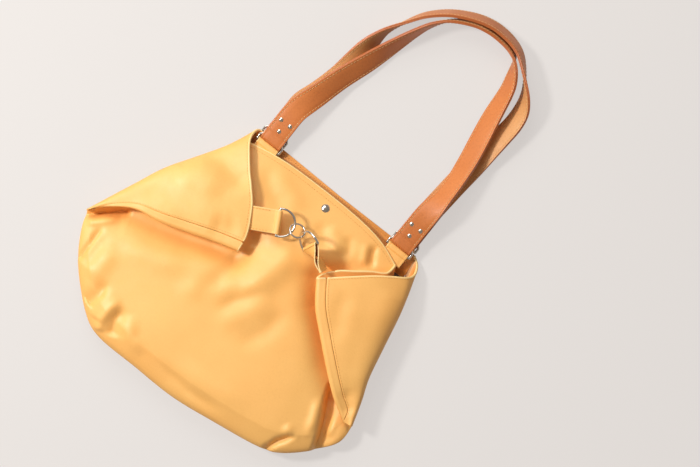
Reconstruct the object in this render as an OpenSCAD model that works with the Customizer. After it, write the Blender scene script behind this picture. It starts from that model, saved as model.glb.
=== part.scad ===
// Soft leather shoulder bag of trapeze cut, lying on its back.
// The two upper corners are folded in over the front and linked by rings.
// Frame: Z = 0 is the flat resting face of the back, +Z up, +Y from the base to the handles,
// origin on the resting face under the middle of the bag.

/* [Leather] */
// Thickness of the body leather
leather = 1.8; // [1.2:0.1:2.4]
// Thickness of the lining cloth
lining = 0.6; // [0.4:0.1:1.0]
// Thickness of the leather facing inside the mouth
facing = 1.4; // [1.0:0.1:1.6]
// Depth of the facing below the rim
facing_depth = 32; // [20:1:40]

/* [Body] */
// Width of the bag as it lies with its corners folded in
body_w = 428; // [420:1:436]
// Height of the body from its base to the rim
body_l = 328; // [322:1:334]
// Height that the front stands above its own edges
belly = 12; // [8:1:14]
// Height of the seam between the front and the base panel
base_h = 38; // [34:1:44]
// Height of the widest line of the sides above the floor
side_h = 18; // [15:1:20]
// Distance from the widest line in to the flat resting face
side_round = 13; // [10:1:16]
// Height of the seam edge of the folded wings
wing_h = 44; // [43:1:50]
// Height of the pocket inside each folded wing
wing_pocket = 6; // [4:0.5:7]

/* [Handles] */
// Width of the handle straps
strap_w = 30; // [26:0.5:30]
// Thickness of the outer ply of a strap
strap_ply = 2.0; // [1.6:0.1:2.2]
// Thickness of the inner ply of a strap
backing_ply = 1.6; // [1.2:0.1:1.8]
// Length of the strap's turned-back tail from its ring
tail_len = 42; // [41:1:46]
// Distance from a ring's bar to the first rivet
rivet_first = 23.5; // [23:0.5:26]
// Distance from the first rivet to the pair behind it
rivet_row = 13.5; // [10:0.5:15]
// Distance between the rivets of the pair
rivet_pair = 14; // [10:0.5:18]
// Diameter of a rivet's post
rivet_d = 3.0; // [2.5:0.1:3.5]
// Diameter of a rivet's cap
rivet_cap_d = 6.0; // [5.5:0.1:7]

/* [Rings] */
// Diameter of the wire of the D-rings
wire_d = 3.0; // [2.5:0.1:3.2]
// Straight side of a handle ring
ring_side = 6; // [5.5:0.5:7]
// Rise of the arc of a handle ring
ring_rise = 9.5; // [9:0.5:9.5]
// Straight side of a wing ring
wing_ring_side = 3.5; // [3:0.5:5]
// Outer diameter of the small link ring
link_d = 21.7; // [21.5:0.1:22.5]
// Diameter of the wire of the link ring
link_wire = 2.5; // [2:0.1:2.6]

/* [Tabs] */
// Thickness of one ply of a ring tab
tab_ply = 1.5; // [1.0:0.1:1.5]
// Length of a handle tab from its ring bar to its sewn end
tab_len = 17; // [14:1:20]
// Length of the left wing tab
left_tab_len = 49; // [44:1:53]
// Length of the right wing tab
right_tab_len = 34; // [32:1:38]

/* [Snap] */
// Diameter of the snap's outer cap
snap_d = 11; // [9:0.5:13]
// Height of the snap's dome
snap_dome = 2.2; // [1.5:0.1:3]

/* [Hidden] */
$fn = 48;

// Gap between a ring's wire and the leather that wraps it
wire_gap = 0.3;
// Gap on each side between a strap and the inside of its ring
ring_gap = 0.8;
// Gap between sewn layers that only lie on each other
layer_gap = 0.3;
// Bevel along the outer edges of a strap
strap_bevel = 0.5;

// ---- Curves and sheets -------------------------------------------------

function unit(v) = v / norm(v);
function mix(a, b, t) = a + (b - a) * t;
function flat(p) = [p[0], p[1], 0];

// Point on the smooth curve through the points p, at the fraction f of its length in spans
function on_curve(p, f) =
    let (s = f * (len(p) - 1), i = min(floor(s), len(p) - 2), t = s - i,
         a = p[max(i - 1, 0)], b = p[i], c = p[i + 1], d = p[min(i + 2, len(p) - 1)])
    0.5 * (2 * b + (c - a) * t + (2 * a - 5 * b + 4 * c - d) * t * t
           + (3 * b - a - 3 * c + d) * t * t * t);

// Normal of the grid g at row i, column j
function grid_normal(g, i, j) =
    let (rows = len(g) - 1, cols = len(g[0]) - 1,
         down = g[min(i + 1, rows)][j] - g[max(i - 1, 0)][j],
         over = g[i][min(j + 1, cols)] - g[i][max(j - 1, 0)])
    unit(cross(over, down));

// The grid g moved by the distance d along its normals
function shifted(g, d) =
    [for (i = [0:len(g) - 1]) [for (j = [0:len(g[0]) - 1]) g[i][j] + grid_normal(g, i, j) * d]];

// A closed sheet of the given thickness on both sides of the grid g of points
module sheet(g, thick) {
    rows = len(g);
    cols = len(g[0]);
    upper = [for (row = shifted(g, thick / 2)) each row];
    lower = [for (row = shifted(g, -thick / 2)) each row];
    under = rows * cols;
    rim = concat(
        [for (j = [0:cols - 1]) j],
        [for (i = [1:rows - 1]) i * cols + cols - 1],
        [for (j = [cols - 2:-1:0]) (rows - 1) * cols + j],
        [for (i = [rows - 2:-1:1]) i * cols]
    );
    faces = concat(
        [for (i = [0:rows - 2], j = [0:cols - 2]) let (k = i * cols + j) each
            [[k, k + cols, k + cols + 1], [k, k + cols + 1, k + 1]]],
        [for (i = [0:rows - 2], j = [0:cols - 2]) let (k = under + i * cols + j) each
            [[k, k + cols + 1, k + cols], [k, k + 1, k + cols + 1]]],
        [for (m = [0:len(rim) - 1]) let (a = rim[m], b = rim[(m + 1) % len(rim)]) each
            [[a, b, b + under], [a, b + under, a + under]]]
    );
    polyhedron(concat(upper, lower), faces);
}

// A band swept along stations [place, side, normal]; section is its outline as [side, normal]
// pairs, and flip picks the other diagonal, so that two plies share one seam surface
module band(stations, section, flip) {
    n = len(stations);
    m = len(section);
    points = [for (s = stations) for (q = section) s[0] + s[1] * q[0] + s[2] * q[1]];
    faces = concat(
        [for (i = [0:n - 2], k = [0:m - 1]) let (a = i * m + k, b = i * m + (k + 1) % m) each
            flip ? [[a, b, a + m], [b, b + m, a + m]] : [[a, b, b + m], [a, b + m, a + m]]],
        [[for (k = [m - 1:-1:0]) k]],
        [[for (k = [0:m - 1]) (n - 1) * m + k]]
    );
    polyhedron(points, faces);
}

// ---- Outline of the bag ------------------------------------------------

// The rails below are drawn for this width and height, and stretched to the wanted ones
width_share = body_w / 428;
height_share = body_l / 328;
function sized(rail) = [for (p = rail) [p[0] * width_share, p[1] * height_share, p[2]]];

// Widest line of the left side, from the mouth down to the end of the wing seam
left_fold = sized([
    [-107, 164, 13], [-122, 132, 16], [-140, 100, side_h], [-165, 56, side_h],
    [-180, 20, side_h], [-197, -20, side_h], [-208, -46, side_h]
]);
// Widest line of the right side, from the mouth down to the end of the wing seam
right_fold = sized([
    [159, 152, 13], [168, 128, 16], [177, 97, side_h], [187, 50, side_h],
    [196, 10, side_h], [207, -19, side_h], [217, -50, side_h]
]);
// Widest line round the base, from the left wing seam to the right one
base_fold = sized([
    [-208, -46, side_h], [-195, -75, side_h], [-172, -108, side_h], [-130, -146, side_h],
    [-98, -160, side_h], [-40, -161, side_h], [20, -161, side_h], [80, -153, side_h],
    [140, -143, side_h], [168, -132, side_h], [198, -104, side_h], [217, -76, side_h],
    [217, -50, side_h]
]);
// Seam between the front and the base panel, over the same stretch
base_seam = sized([
    [-203, -42, base_h - 15], [-184, -72, base_h - 6], [-160, -100, base_h - 2],
    [-125, -124, base_h], [-92, -132, base_h + 1], [-40, -135, base_h + 2],
    [20, -134, base_h + 2], [78, -128, base_h + 2], [132, -120, base_h],
    [158, -110, base_h - 2], [186, -90, base_h - 5], [203, -68, base_h - 9],
    [209, -46, base_h - 16]
]);
// Free edge of the front at the mouth, from left to right
front_rim = sized([
    [-103, 145, 15], [-84, 149.5, 15], [-60, 153.5, 14.5], [-30, 156, 13], [22, 157, 12],
    [63, 156, 13.5], [92, 153, 15], [114, 147.5, 15.5], [135, 139, 16]
]);
// Free seam edge of the left wing, from its tip down to the side
left_seam = sized([
    [-30, 32, wing_h], [-60, 23, wing_h - 1], [-96, 10, wing_h - 3],
    [-130, -2, wing_h - 3], [-163, -10, wing_h - 6], [-198, -34, wing_h - 13]
]);
// Free seam edge of the right wing, from its tip down to the side
right_seam = sized([
    [69, 66, wing_h], [90, 38, wing_h], [113, 17, wing_h - 1],
    [147, -12, wing_h - 2], [178, -36, wing_h - 6], [207, -52, wing_h - 14]
]);
// How far the rim of a wing bows out between its tip and the mouth
wing_bow = 7;
// How far the inner layer of the right wing stands out past the outer one
inner_reveal = 7;
// Extra height of a wing between its seam and its fold
wing_swell = 6;
// Height of a wing's shoulder, as a multiple of the height of its widest line
shoulder_share = 1.85;
// Where the inner layer ends, as a share of the way from the seam to the floor
inner_end = 0.48;

// Y of the back's straight rim and X of its ends
back_rim_y = 166 * height_share;
back_rim_left = -96 * width_share;
back_rim_right = 150 * width_share;

// Centre of the bag seen from above, which every inset moves towards
middle = [10, 10, 0];

// Point p moved in towards the middle by d and set to height z
function inset(p, d, z) = flat(p) + unit(middle - flat(p)) * d + [0, 0, z];

// ---- Surfaces ----------------------------------------------------------

// Front leather at u from left to right and v from the base seam to the mouth
function front_point(u, v) =
    mix(on_curve(base_seam, u), on_curve(front_rim, u), v)
    + [0, 0, belly * pow(sin(180 * v), 0.8) * (1 - pow(2 * u - 1, 2))];

// The same surface, set below the leather by d, between two fractions each way
function front_grid(u0, u1, nu, v0, v1, nv, d) =
    [for (j = [0:nv]) [for (i = [0:nu])
        front_point(mix(u0, u1, i / nu), mix(v0, v1, j / nv)) - [0, 0, d]]];

// Outer layer of a wing: v runs from the seam over the top and round the side to the floor
function wing_point(seam, fold, u, v) =
    let (a = on_curve(seam, u), b = on_curve(fold, u),
         top = b[2] * shoulder_share,
         bow = [0, wing_bow * pow(1 - u, 2), 0],
         crest = wing_swell * sin(180 * min(1, u + 0.25)))
    on_curve([a, [0, 0, mix(a[2], top, 0.45) + crest] + flat(mix(a, b, 0.45)) + bow,
              [0, 0, top] + flat(mix(a, b, 0.88)) + bow * 0.3, b,
              inset(b, side_round, leather / 2)], v);

// Inner layer of a wing: it follows the outer one and drops away from it towards its fold
function wing_inner_point(seam, fold, u, v, reveal) =
    wing_point(seam, fold, u, v * inner_end)
    + [0, reveal * pow(1 - u, 3) * (1 - v * 0.6),
       -leather - layer_gap - wing_pocket * v * (0.7 + 0.3 * sin(180 * pow(u, 0.7)))];

// Base panel: v runs from the base seam over the widest line to the floor
function base_point(u, v) =
    let (a = on_curve(base_seam, u), b = on_curve(base_fold, u),
         s = mix(a, b, 0.62) + [0, 0, (a[2] - b[2]) * 0.3])
    on_curve([a, s, b, inset(b, side_round, leather / 2)], v);

wing_rows = 12;
wing_cols = 14;
function wing_grid(seam, fold) =
    [for (i = [0:wing_rows]) [for (j = [0:wing_cols])
        wing_point(seam, fold, i / wing_rows, j / wing_cols)]];
function wing_inner_grid(seam, fold, reveal) =
    [for (i = [0:wing_rows]) [for (j = [0:6])
        wing_inner_point(seam, fold, i / wing_rows, j / 6, reveal)]];

// Outline of the flat resting face: the widest lines brought in by the side's rounding
rest_outline = concat(
    [for (f = [0.12:0.11:0.95]) inset(on_curve(left_fold, f), side_round, 0)],
    [for (f = [0:0.05:1]) inset(on_curve(base_fold, f), side_round, 0)],
    [for (f = [0.95:-0.11:0.12]) inset(on_curve(right_fold, f), side_round, 0)],
    [[back_rim_right, back_rim_y - 4, 0], [back_rim_right - 8, back_rim_y, 0],
     [back_rim_left + 8, back_rim_y, 0], [back_rim_left, back_rim_y - 4, 0]]
);

// ---- Body leather ------------------------------------------------------

module rest_shape() {
    polygon([for (p = rest_outline) [p[0], p[1]]]);
}

module back_panel() {
    color("goldenrod") linear_extrude(leather) rest_shape();
}

module front_panel() {
    color("sandybrown") sheet(front_grid(0, 1, 26, 0, 1, 16, 0), leather);
}

module base_panel() {
    color("peru")
        sheet([for (j = [0:8]) [for (i = [0:34]) base_point(i / 34, 1 - j / 8)]], leather);
}

module left_wing_outer() {
    color("goldenrod") sheet(wing_grid(left_seam, left_fold), leather);
}

module left_wing_inner() {
    color("peru") sheet(wing_inner_grid(left_seam, left_fold, 0), leather);
}

module right_wing_outer() {
    color("goldenrod") mirror([1, 0, 0])
        sheet([for (row = wing_grid(right_seam, right_fold)) [for (p = row) [-p[0], p[1], p[2]]]],
              leather);
}

module right_wing_inner() {
    color("peru") mirror([1, 0, 0])
        sheet([for (row = wing_inner_grid(right_seam, right_fold, inner_reveal))
               [for (p = row) [-p[0], p[1], p[2]]]], leather);
}

// ---- Mouth: facings and lining -----------------------------------------

module back_facing() {
    color("goldenrod") difference() {
        translate([0, 0, leather]) linear_extrude(facing) intersection() {
            rest_shape();
            translate([back_rim_left, back_rim_y - facing_depth])
                square([back_rim_right - back_rim_left, facing_depth]);
        }
        for (x = [back_left_x, back_right_x])
            translate([x - strap_w / 2 - layer_gap, back_bar_y - tab_len - layer_gap, 0])
                cube([strap_w + 2 * layer_gap, tab_len + facing_depth, 2 * back_bar_z]);
    }
}

module front_facing() {
    color("goldenrod")
        sheet(front_grid(facing_u0, facing_u1, 12, 1 - facing_depth / 280, 1, 3,
                         (leather + facing) / 2 + layer_gap), facing);
}

module back_lining() {
    color("dimgray") translate([0, 0, leather]) linear_extrude(lining) intersection() {
        offset(delta = -2) rest_shape();
        translate([-body_w, -body_l])
            square([2 * body_w, body_l + back_rim_y - facing_depth - 1]);
    }
}

module front_lining() {
    color("dimgray")
        sheet(front_grid(0.05, 0.95, 16, 0.06, 1 - facing_depth / 280 - 0.02, 9,
                         (leather + lining) / 2 + layer_gap), lining);
}

// ---- Rings -------------------------------------------------------------

// Half width of a D-ring between the centres of its wire
ring_half = strap_w / 2 + ring_gap + wire_d / 2;

// D-ring in the plane Z = 0: bar along X through the origin, arc towards +Y
module d_ring(side, rise) {
    arc_r = (pow(ring_half, 2) + pow(rise, 2)) / (2 * rise);
    arc_half = asin(min(1, ring_half / arc_r));
    color("silver") {
        rotate([0, 90, 0]) cylinder(d = wire_d, h = 2 * ring_half, center = true);
        for (x = [-ring_half, ring_half]) translate([x, 0, 0]) {
            sphere(d = wire_d);
            rotate([-90, 0, 0]) cylinder(d = wire_d, h = side);
            if (arc_half < 89) translate([0, side, 0]) sphere(d = wire_d);
        }
        translate([0, side + rise - arc_r, 0]) rotate([0, 0, 90 - arc_half])
            rotate_extrude(angle = 2 * arc_half, $fn = 96) translate([arc_r, 0])
                circle(d = wire_d, $fn = 32);
    }
}

// Places of the handle rings' bars: both bars of one handle share one axis along X
front_left_x = -83 * width_share;
front_right_x = 126 * width_share;
front_bar_y = 157 * height_share;
front_bar_z = 12.4;
back_left_x = -84 * width_share;
back_right_x = 128 * width_share;
back_bar_y = 168 * height_share;
back_bar_z = 4.1;
// Tilt of the front rings out of the floor's plane
front_tilt = 12;

module at_front_ring(x) {
    translate([x, front_bar_y, front_bar_z]) rotate([front_tilt, 0, 0]) children();
}

module at_back_ring(x) {
    translate([x, back_bar_y, back_bar_z]) children();
}

module front_left_ring() { at_front_ring(front_left_x) d_ring(ring_side, ring_rise); }
module front_right_ring() { at_front_ring(front_right_x) d_ring(ring_side, ring_rise); }
module back_left_ring() { at_back_ring(back_left_x) d_ring(ring_side, ring_rise); }
module back_right_ring() { at_back_ring(back_right_x) d_ring(ring_side, ring_rise); }

// Chain of rings between the wings: places of the bars and how they are turned
link_at = [13 * width_share, 97.5 * height_share, 42.5];
link_lean = -32;
link_turn = 5;
left_bar = link_at + [-25, -6.5, 0];
left_turn = -61.3;
right_bar = link_at + [25.5, -5, 3.5];
right_turn = 66;
right_roll = -54;

module at_left_wing_ring() {
    translate(left_bar) rotate([0, 0, left_turn]) children();
}

module at_right_wing_ring() {
    translate(right_bar) rotate([0, 0, right_turn]) rotate([0, right_roll, 0]) children();
}

module left_wing_ring() {
    at_left_wing_ring() d_ring(wing_ring_side, ring_half);
}

module right_wing_ring() {
    at_right_wing_ring() d_ring(wing_ring_side, ring_half);
}

module link_ring() {
    color("silver") translate(link_at) rotate([0, 0, link_turn]) rotate([link_lean, 0, 0])
        rotate_extrude($fn = 96) translate([(link_d - link_wire) / 2, 0])
            circle(d = link_wire, $fn = 32);
}

// ---- Tabs --------------------------------------------------------------

// Leather tab round a ring's bar: bar along X through the origin, sewn end towards -Y,
// its two plies closed at the height drop above the bar
module ring_tab(length, drop) {
    eye = wire_d / 2 + wire_gap;
    color("orange") rotate([90, 0, 90]) linear_extrude(strap_w, center = true) difference() {
        union() {
            circle(r = eye + tab_ply, $fn = 64);
            translate([-length, drop - tab_ply]) square([length, 2 * tab_ply]);
        }
        circle(r = eye, $fn = 64);
    }
}

module front_left_tab() {
    translate([front_left_x, front_bar_y, front_bar_z]) ring_tab(tab_len, -0.2);
}

module front_right_tab() {
    translate([front_right_x, front_bar_y, front_bar_z]) ring_tab(tab_len, -0.2);
}

module back_left_tab() {
    translate([back_left_x, back_bar_y, back_bar_z])
        ring_tab(tab_len, leather + tab_ply - back_bar_z);
}

module back_right_tab() {
    translate([back_right_x, back_bar_y, back_bar_z])
        ring_tab(tab_len, leather + tab_ply - back_bar_z);
}

module left_wing_tab() {
    at_left_wing_ring() ring_tab(left_tab_len, -1.6);
}

module right_wing_tab() {
    at_right_wing_ring() ring_tab(right_tab_len, 0);
}

// ---- Handle straps -----------------------------------------------------

// A route drawn for the same body size, set to the wanted one: it keeps its length
function placed(route, bar_y) =
    [for (r = route) [r[0] * width_share, r[1] + bar_y * (1 - 1 / height_share), r[2], r[3]]];

// Route of the front strap between its riveted ends: X and Y of its middle, the height of its
// lower edge and its lean. A leaning strap has its inner edge down and its outer edge up.
front_route = placed([
    [-81.5, 218, 19, 6], [-73.5, 246, 13, 24], [-64, 280, 7.5, 36], [-50.5, 318, 4, 44],
    [-36, 360, 1, 65], [-27, 384, 0.5, 78], [-17.5, 404, 0.3, 88], [-3, 422, 0.2, 98],
    [22, 438.6, 0.2, 110], [42, 444.8, 0.2, 114], [60, 445.6, 0.2, 114], [76, 443.2, 0.2, 111],
    [87, 437.8, 0.2, 104], [94.5, 429, 0.2, 85], [102, 415, 0.2, 68], [108, 398, 0.4, 58],
    [113.5, 362, 1, 45], [119.5, 330, 2.5, 40], [125, 300, 5, 41], [128.5, 268, 6.5, 46],
    [128.6, 240, 11, 40], [126.8, 218, 17.5, 14]
], front_bar_y);
// The same for the back strap, which lies under and outside the front one
back_route = placed([
    [-83.5, 228, 1.4, 0], [-76, 250, 0.5, 2], [-68, 282, 0.2, 10], [-65, 308, 0.2, 27],
    [-64, 328, 0.2, 46], [-61.5, 345, 0.2, 64], [-56.5, 364, 0.2, 84], [-46, 384, 0.2, 96],
    [-30.5, 409, 0.2, 105], [-7.5, 430.4, 0.2, 110], [20, 445.4, 0.2, 114],
    [42, 451.8, 0.2, 115], [60, 452.6, 0.2, 115], [77, 450.4, 0.2, 113],
    [91, 445, 0.2, 110], [104, 435, 0.2, 104], [119, 420, 0.2, 92], [131, 404, 0.2, 72],
    [138, 388, 0.2, 52], [140, 370, 0.2, 42], [138.5, 350, 0.2, 36], [136.3, 328, 0.2, 28],
    [134, 300, 0.2, 17], [131, 268, 0.3, 7], [129, 240, 0.8, 1], [128, 226, 1.4, 0]
], back_bar_y);
route_steps = 4;

// Middle of the seam between the plies at a row of a route: below and above are the
// thicknesses of the plies under and over that seam where the strap lies flat
function route_point(row, below, above) =
    let (lean = row[3], ply = cos(lean) > 0 ? below : above)
    [row[0], row[1], row[2] + strap_w / 2 * sin(lean) + ply * abs(cos(lean)), lean];

// Stations of a strap along a route, with its tilted riveted ends added
function strap_line(route, x0, x1, bar_y, bar_z, tilt, below, above) =
    let (e = [0, cos(tilt), sin(tilt)],
         left = [for (far = [strap_start:2:strap_start + 4]) concat([x0, bar_y, bar_z] + e * far, [0])],
         right = [for (far = [strap_start + 4:-2:strap_start]) concat([x1, bar_y, bar_z] + e * far, [0])],
         ends = concat(left, [for (row = route) route_point(row, below, above)], right),
         spans = len(ends) - 1)
    [for (k = [0:spans * route_steps]) on_curve(ends, k / (spans * route_steps))];

// Station [place, side, normal] of a point on a strap line: side points to the inner edge
function strap_station(line, k) =
    let (a = line[max(k - 1, 0)], b = line[min(k + 1, len(line) - 1)], p = line[k],
         t = unit([b[0] - a[0], b[1] - a[1], b[2] - a[2]]),
         in_flat = unit([t[1], -t[0], 0]),
         up = cross(in_flat, t), lean = p[3])
    [[p[0], p[1], p[2]], in_flat * cos(lean) - up * sin(lean),
     up * cos(lean) + in_flat * sin(lean)];

strap_start = tail_len + 1;
// Middle of the loop's bend, measured from the ring's bar, and the bend's radius
loop_r = wire_d / 2 + wire_gap + strap_ply / 2;
loop_at = 4.6 + loop_r;
// Where the plies close behind the ring
loop_shut = ring_side + ring_rise + wire_d / 2 + 2.8;

// Outer ply's middle line from its tail round the ring, as [along, height, turn] rows
loop_rows = concat(
    [[tail_len, -strap_ply / 2 - layer_gap, 180],
     [loop_shut, -strap_ply / 2 - layer_gap, 180],
     [loop_shut - 2.6, -loop_r, 180]],
    [for (turn = [180:-22.5:0]) [loop_at - loop_r * sin(turn), loop_r * cos(turn), turn]],
    [[loop_shut - 2.6, loop_r, 0], [loop_shut, strap_ply / 2, 0]]
);

// Stations of the loop at one end: face is 1 where the outer ply lies above, -1 below
function loop_stations(x, bar_y, bar_z, tilt, face, right) =
    let (e = [0, cos(tilt), sin(tilt)], n = [0, -sin(tilt), cos(tilt)] * face,
         side = [right ? -1 : 1, 0, 0])
    [for (q = loop_rows)
        [[x, bar_y, bar_z] + e * q[0] + n * q[1], side,
         (n * cos(q[2]) - e * sin(q[2])) * face]];

function reversed(list) = [for (k = [len(list) - 1:-1:0]) list[k]];

// Outline of the outer ply: wide on the seam to the backing, bevelled on the outer face
function ply_section(low, high, bevel_high) =
    let (w = strap_w / 2, c = strap_bevel)
    bevel_high
    ? [[-w, low], [w, low], [w, high - c], [w - c, high], [c - w, high], [-w, high - c]]
    : [[-w, low + c], [c - w, low], [w - c, low], [w, low + c], [w, high], [-w, high]];

module strap_outer(line, loops, face) {
    main = [for (k = [0:len(line) - 1]) let (s = strap_station(line, k))
        [s[0] + s[2] * face * strap_ply / 2, s[1], s[2]]];
    band(concat(loops[0], main, reversed(loops[1])),
         ply_section(-strap_ply / 2, strap_ply / 2, face > 0), face < 0);
}

module strap_backing(line, face) {
    main = [for (k = [0:len(line) - 1]) strap_station(line, k)];
    band(main, face > 0 ? ply_section(-backing_ply, 0, false) : ply_section(0, backing_ply, true),
         face > 0);
}

// Places of the three rivets of one strap end, in the ring's plane
rivet_places = [[0, rivet_first], [-rivet_pair / 2, rivet_first + rivet_row],
                [rivet_pair / 2, rivet_first + rivet_row]];
rivet_clearance = 0.1;

module rivet_holes() {
    for (p = rivet_places) translate([p[0], p[1], 0])
        cylinder(d = rivet_d + 2 * rivet_clearance, h = 20, center = true);
}

// Rivets of one end, with the outer face towards +Z
module rivets() {
    low = -strap_ply - layer_gap;
    color("silver") for (p = rivet_places) translate([p[0], p[1], 0]) {
        translate([0, 0, low]) cylinder(d = rivet_d, h = strap_ply - low);
        translate([0, 0, strap_ply]) rivet_cap(rivet_cap_d / 2, 1.2);
        translate([0, 0, low]) mirror([0, 0, 1]) rivet_cap(rivet_cap_d / 2, 0.8);
    }
}

// Domed cap of radius r and height h, standing on Z = 0
module rivet_cap(r, h) {
    ball = (r * r + h * h) / (2 * h);
    rotate_extrude() intersection() {
        translate([0, h - ball]) circle(r = ball, $fn = 96);
        square([r, h]);
    }
}

front_line = strap_line(front_route, front_left_x, front_right_x, front_bar_y, front_bar_z,
                        front_tilt, backing_ply, strap_ply);
back_line = strap_line(back_route, back_left_x, back_right_x, back_bar_y, back_bar_z, 0,
                       strap_ply, backing_ply);
front_loops = [for (right = [false, true])
    loop_stations(right ? front_right_x : front_left_x, front_bar_y, front_bar_z, front_tilt,
                  1, right)];
back_loops = [for (right = [false, true])
    loop_stations(right ? back_right_x : back_left_x, back_bar_y, back_bar_z, 0, -1, right)];

module front_strap() {
    color("chocolate") difference() {
        strap_outer(front_line, front_loops, 1);
        for (x = [front_left_x, front_right_x]) at_front_ring(x) rivet_holes();
    }
}

module front_strap_backing() {
    color("peru") strap_backing(front_line, 1);
}

module front_rivets() {
    for (x = [front_left_x, front_right_x]) at_front_ring(x) rivets();
}

module back_strap() {
    color("chocolate") difference() {
        strap_outer(back_line, back_loops, -1);
        for (x = [back_left_x, back_right_x]) at_back_ring(x) rivet_holes();
    }
}

module back_strap_backing() {
    color("peru") strap_backing(back_line, -1);
}

module back_rivets() {
    for (x = [back_left_x, back_right_x]) at_back_ring(x) rotate([0, 180, 0]) rivets();
}

// ---- Snap --------------------------------------------------------------

// Place of the snap on the front leather, and the ends of the front facing beside the tabs
snap_u = 0.5015;
snap_v = 0.945;
facing_u0 = 0.24;
facing_u1 = 0.78;
snap_spot = front_point(snap_u, snap_v);
snap_up = unit(cross(front_point(snap_u + 0.01, snap_v) - snap_spot,
                     front_point(snap_u, snap_v + 0.01) - snap_spot));
snap_stud_base = 0.8;
snap_socket_h = 2.6;

// Puts its children on the front leather at the snap, standing square to it
module at_snap() {
    translate(snap_spot) rotate([0, acos(snap_up[2]), atan2(snap_up[1], snap_up[0])]) children();
}

module snap_cap() {
    color("silver") at_snap() translate([0, 0, leather / 2]) rivet_cap(snap_d / 2, snap_dome);
}

module snap_socket() {
    color("silver") at_snap()
        translate([0, 0, -leather / 2 - facing - 2 * layer_gap - snap_socket_h]) difference() {
            cylinder(d = snap_d + 1, h = snap_socket_h);
            translate([0, 0, -1]) cylinder(d = snap_d / 2 + 1, h = snap_socket_h);
        }
}

module snap_stud() {
    color("silver") translate([snap_spot[0], snap_spot[1], leather + facing]) {
        cylinder(d = snap_d, h = snap_stud_base);
        translate([0, 0, snap_stud_base]) cylinder(d = snap_d / 2, h = 1.6);
    }
}

// ---- Nodes -------------------------------------------------------------

back_panel();
front_panel();
base_panel();
left_wing_outer();
left_wing_inner();
right_wing_outer();
right_wing_inner();
back_facing();
front_facing();
back_lining();
front_lining();
left_wing_tab();
right_wing_tab();
front_left_tab();
front_right_tab();
back_left_tab();
back_right_tab();
left_wing_ring();
link_ring();
right_wing_ring();
front_left_ring();
front_right_ring();
back_left_ring();
back_right_ring();
front_strap();
front_strap_backing();
front_rivets();
back_strap();
back_strap_backing();
back_rivets();
snap_cap();
snap_socket();
snap_stud();
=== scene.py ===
import math

import bmesh
import bpy
import numpy as np
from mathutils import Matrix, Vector


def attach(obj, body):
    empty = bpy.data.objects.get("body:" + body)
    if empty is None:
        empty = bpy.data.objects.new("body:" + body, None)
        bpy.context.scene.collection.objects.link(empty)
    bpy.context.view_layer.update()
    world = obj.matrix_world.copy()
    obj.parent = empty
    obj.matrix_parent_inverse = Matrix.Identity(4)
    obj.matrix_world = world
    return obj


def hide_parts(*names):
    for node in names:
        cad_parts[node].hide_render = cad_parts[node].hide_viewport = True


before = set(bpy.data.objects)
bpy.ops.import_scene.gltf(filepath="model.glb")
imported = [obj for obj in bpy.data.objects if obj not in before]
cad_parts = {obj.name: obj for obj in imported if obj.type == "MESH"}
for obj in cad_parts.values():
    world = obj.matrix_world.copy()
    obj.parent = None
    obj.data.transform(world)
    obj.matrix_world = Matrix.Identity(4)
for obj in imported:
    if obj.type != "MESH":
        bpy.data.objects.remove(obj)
scene = bpy.context.scene
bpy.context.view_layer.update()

# Lengths below are millimetres in the frame of the CAD model, until a mesh is made
MM = 0.001

# ---- Sizes, as in the CAD model ----
# layers of the bag
LEATHER = 1.8
FACING = 1.4
LINING = 0.6
LAYER_GAP = 0.3
# handles: width, finished ply, ply behind it, folded tail
STRAP_W = 30.0
STRAP_PLY = 2.0
BACKING_PLY = 1.6
TAIL_LEN = 42.0
# D-rings: wire, clearance round it, straight sides and rise of the bow
WIRE_D = 3.0
WIRE_GAP = 0.3
RING_SIDE = 6.0
RING_RISE = 9.5
# from a ring's bar to the strap's turn, and from its bow to where the strap's plies close
LOOP_START = 4.6
LOOP_CLOSE = 2.8
# tabs that hold the rings: ply, and length from the bar
TAB_PLY = 1.5
TAB_LEN = 17.0
LEFT_TAB_LEN = 49.0
RIGHT_TAB_LEN = 34.0

# ---- Rails of the bag, from the mouth down ----
LEFT_FOLD = [
    (-107, 164, 13), (-122, 132, 16), (-140, 100, 18), (-165, 56, 18), (-180, 20, 18),
    (-197, -20, 18), (-208, -46, 18)]
RIGHT_FOLD = [
    (159, 152, 13), (168, 128, 16), (177, 97, 18), (187, 50, 18), (196, 10, 18), (207, -19, 18),
    (217, -50, 18)]
BASE_FOLD = [
    (-208, -46, 18), (-195, -75, 18), (-172, -108, 18), (-130, -146, 18), (-98, -160, 18),
    (-40, -161, 18), (20, -161, 18), (80, -153, 18), (140, -143, 18), (168, -132, 18),
    (198, -104, 18), (217, -76, 18), (217, -50, 18)]
BASE_SEAM = [
    (-203, -42, 23), (-184, -72, 32), (-160, -100, 36), (-125, -124, 38), (-92, -132, 39),
    (-40, -135, 40), (20, -134, 40), (78, -128, 40), (132, -120, 38), (158, -110, 36),
    (186, -90, 33), (203, -68, 29), (209, -46, 22)]
FRONT_RIM = [
    (-103, 145, 15), (-84, 149.5, 15), (-60, 153.5, 14.5), (-30, 156, 13), (22, 157, 12),
    (63, 156, 13.5), (92, 153, 15), (114, 147.5, 15.5), (135, 139, 16)]
LEFT_SEAM = [
    (-30, 32, 45), (-60, 23, 44), (-96, 10, 42), (-130, -1, 41), (-164, -8, 40), (-201, -34, 32)]
RIGHT_SEAM = [
    (69, 66, 45), (90, 38, 45), (113, 17, 44), (147, -12, 42), (178, -36, 38), (207, -52, 30)]
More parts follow.
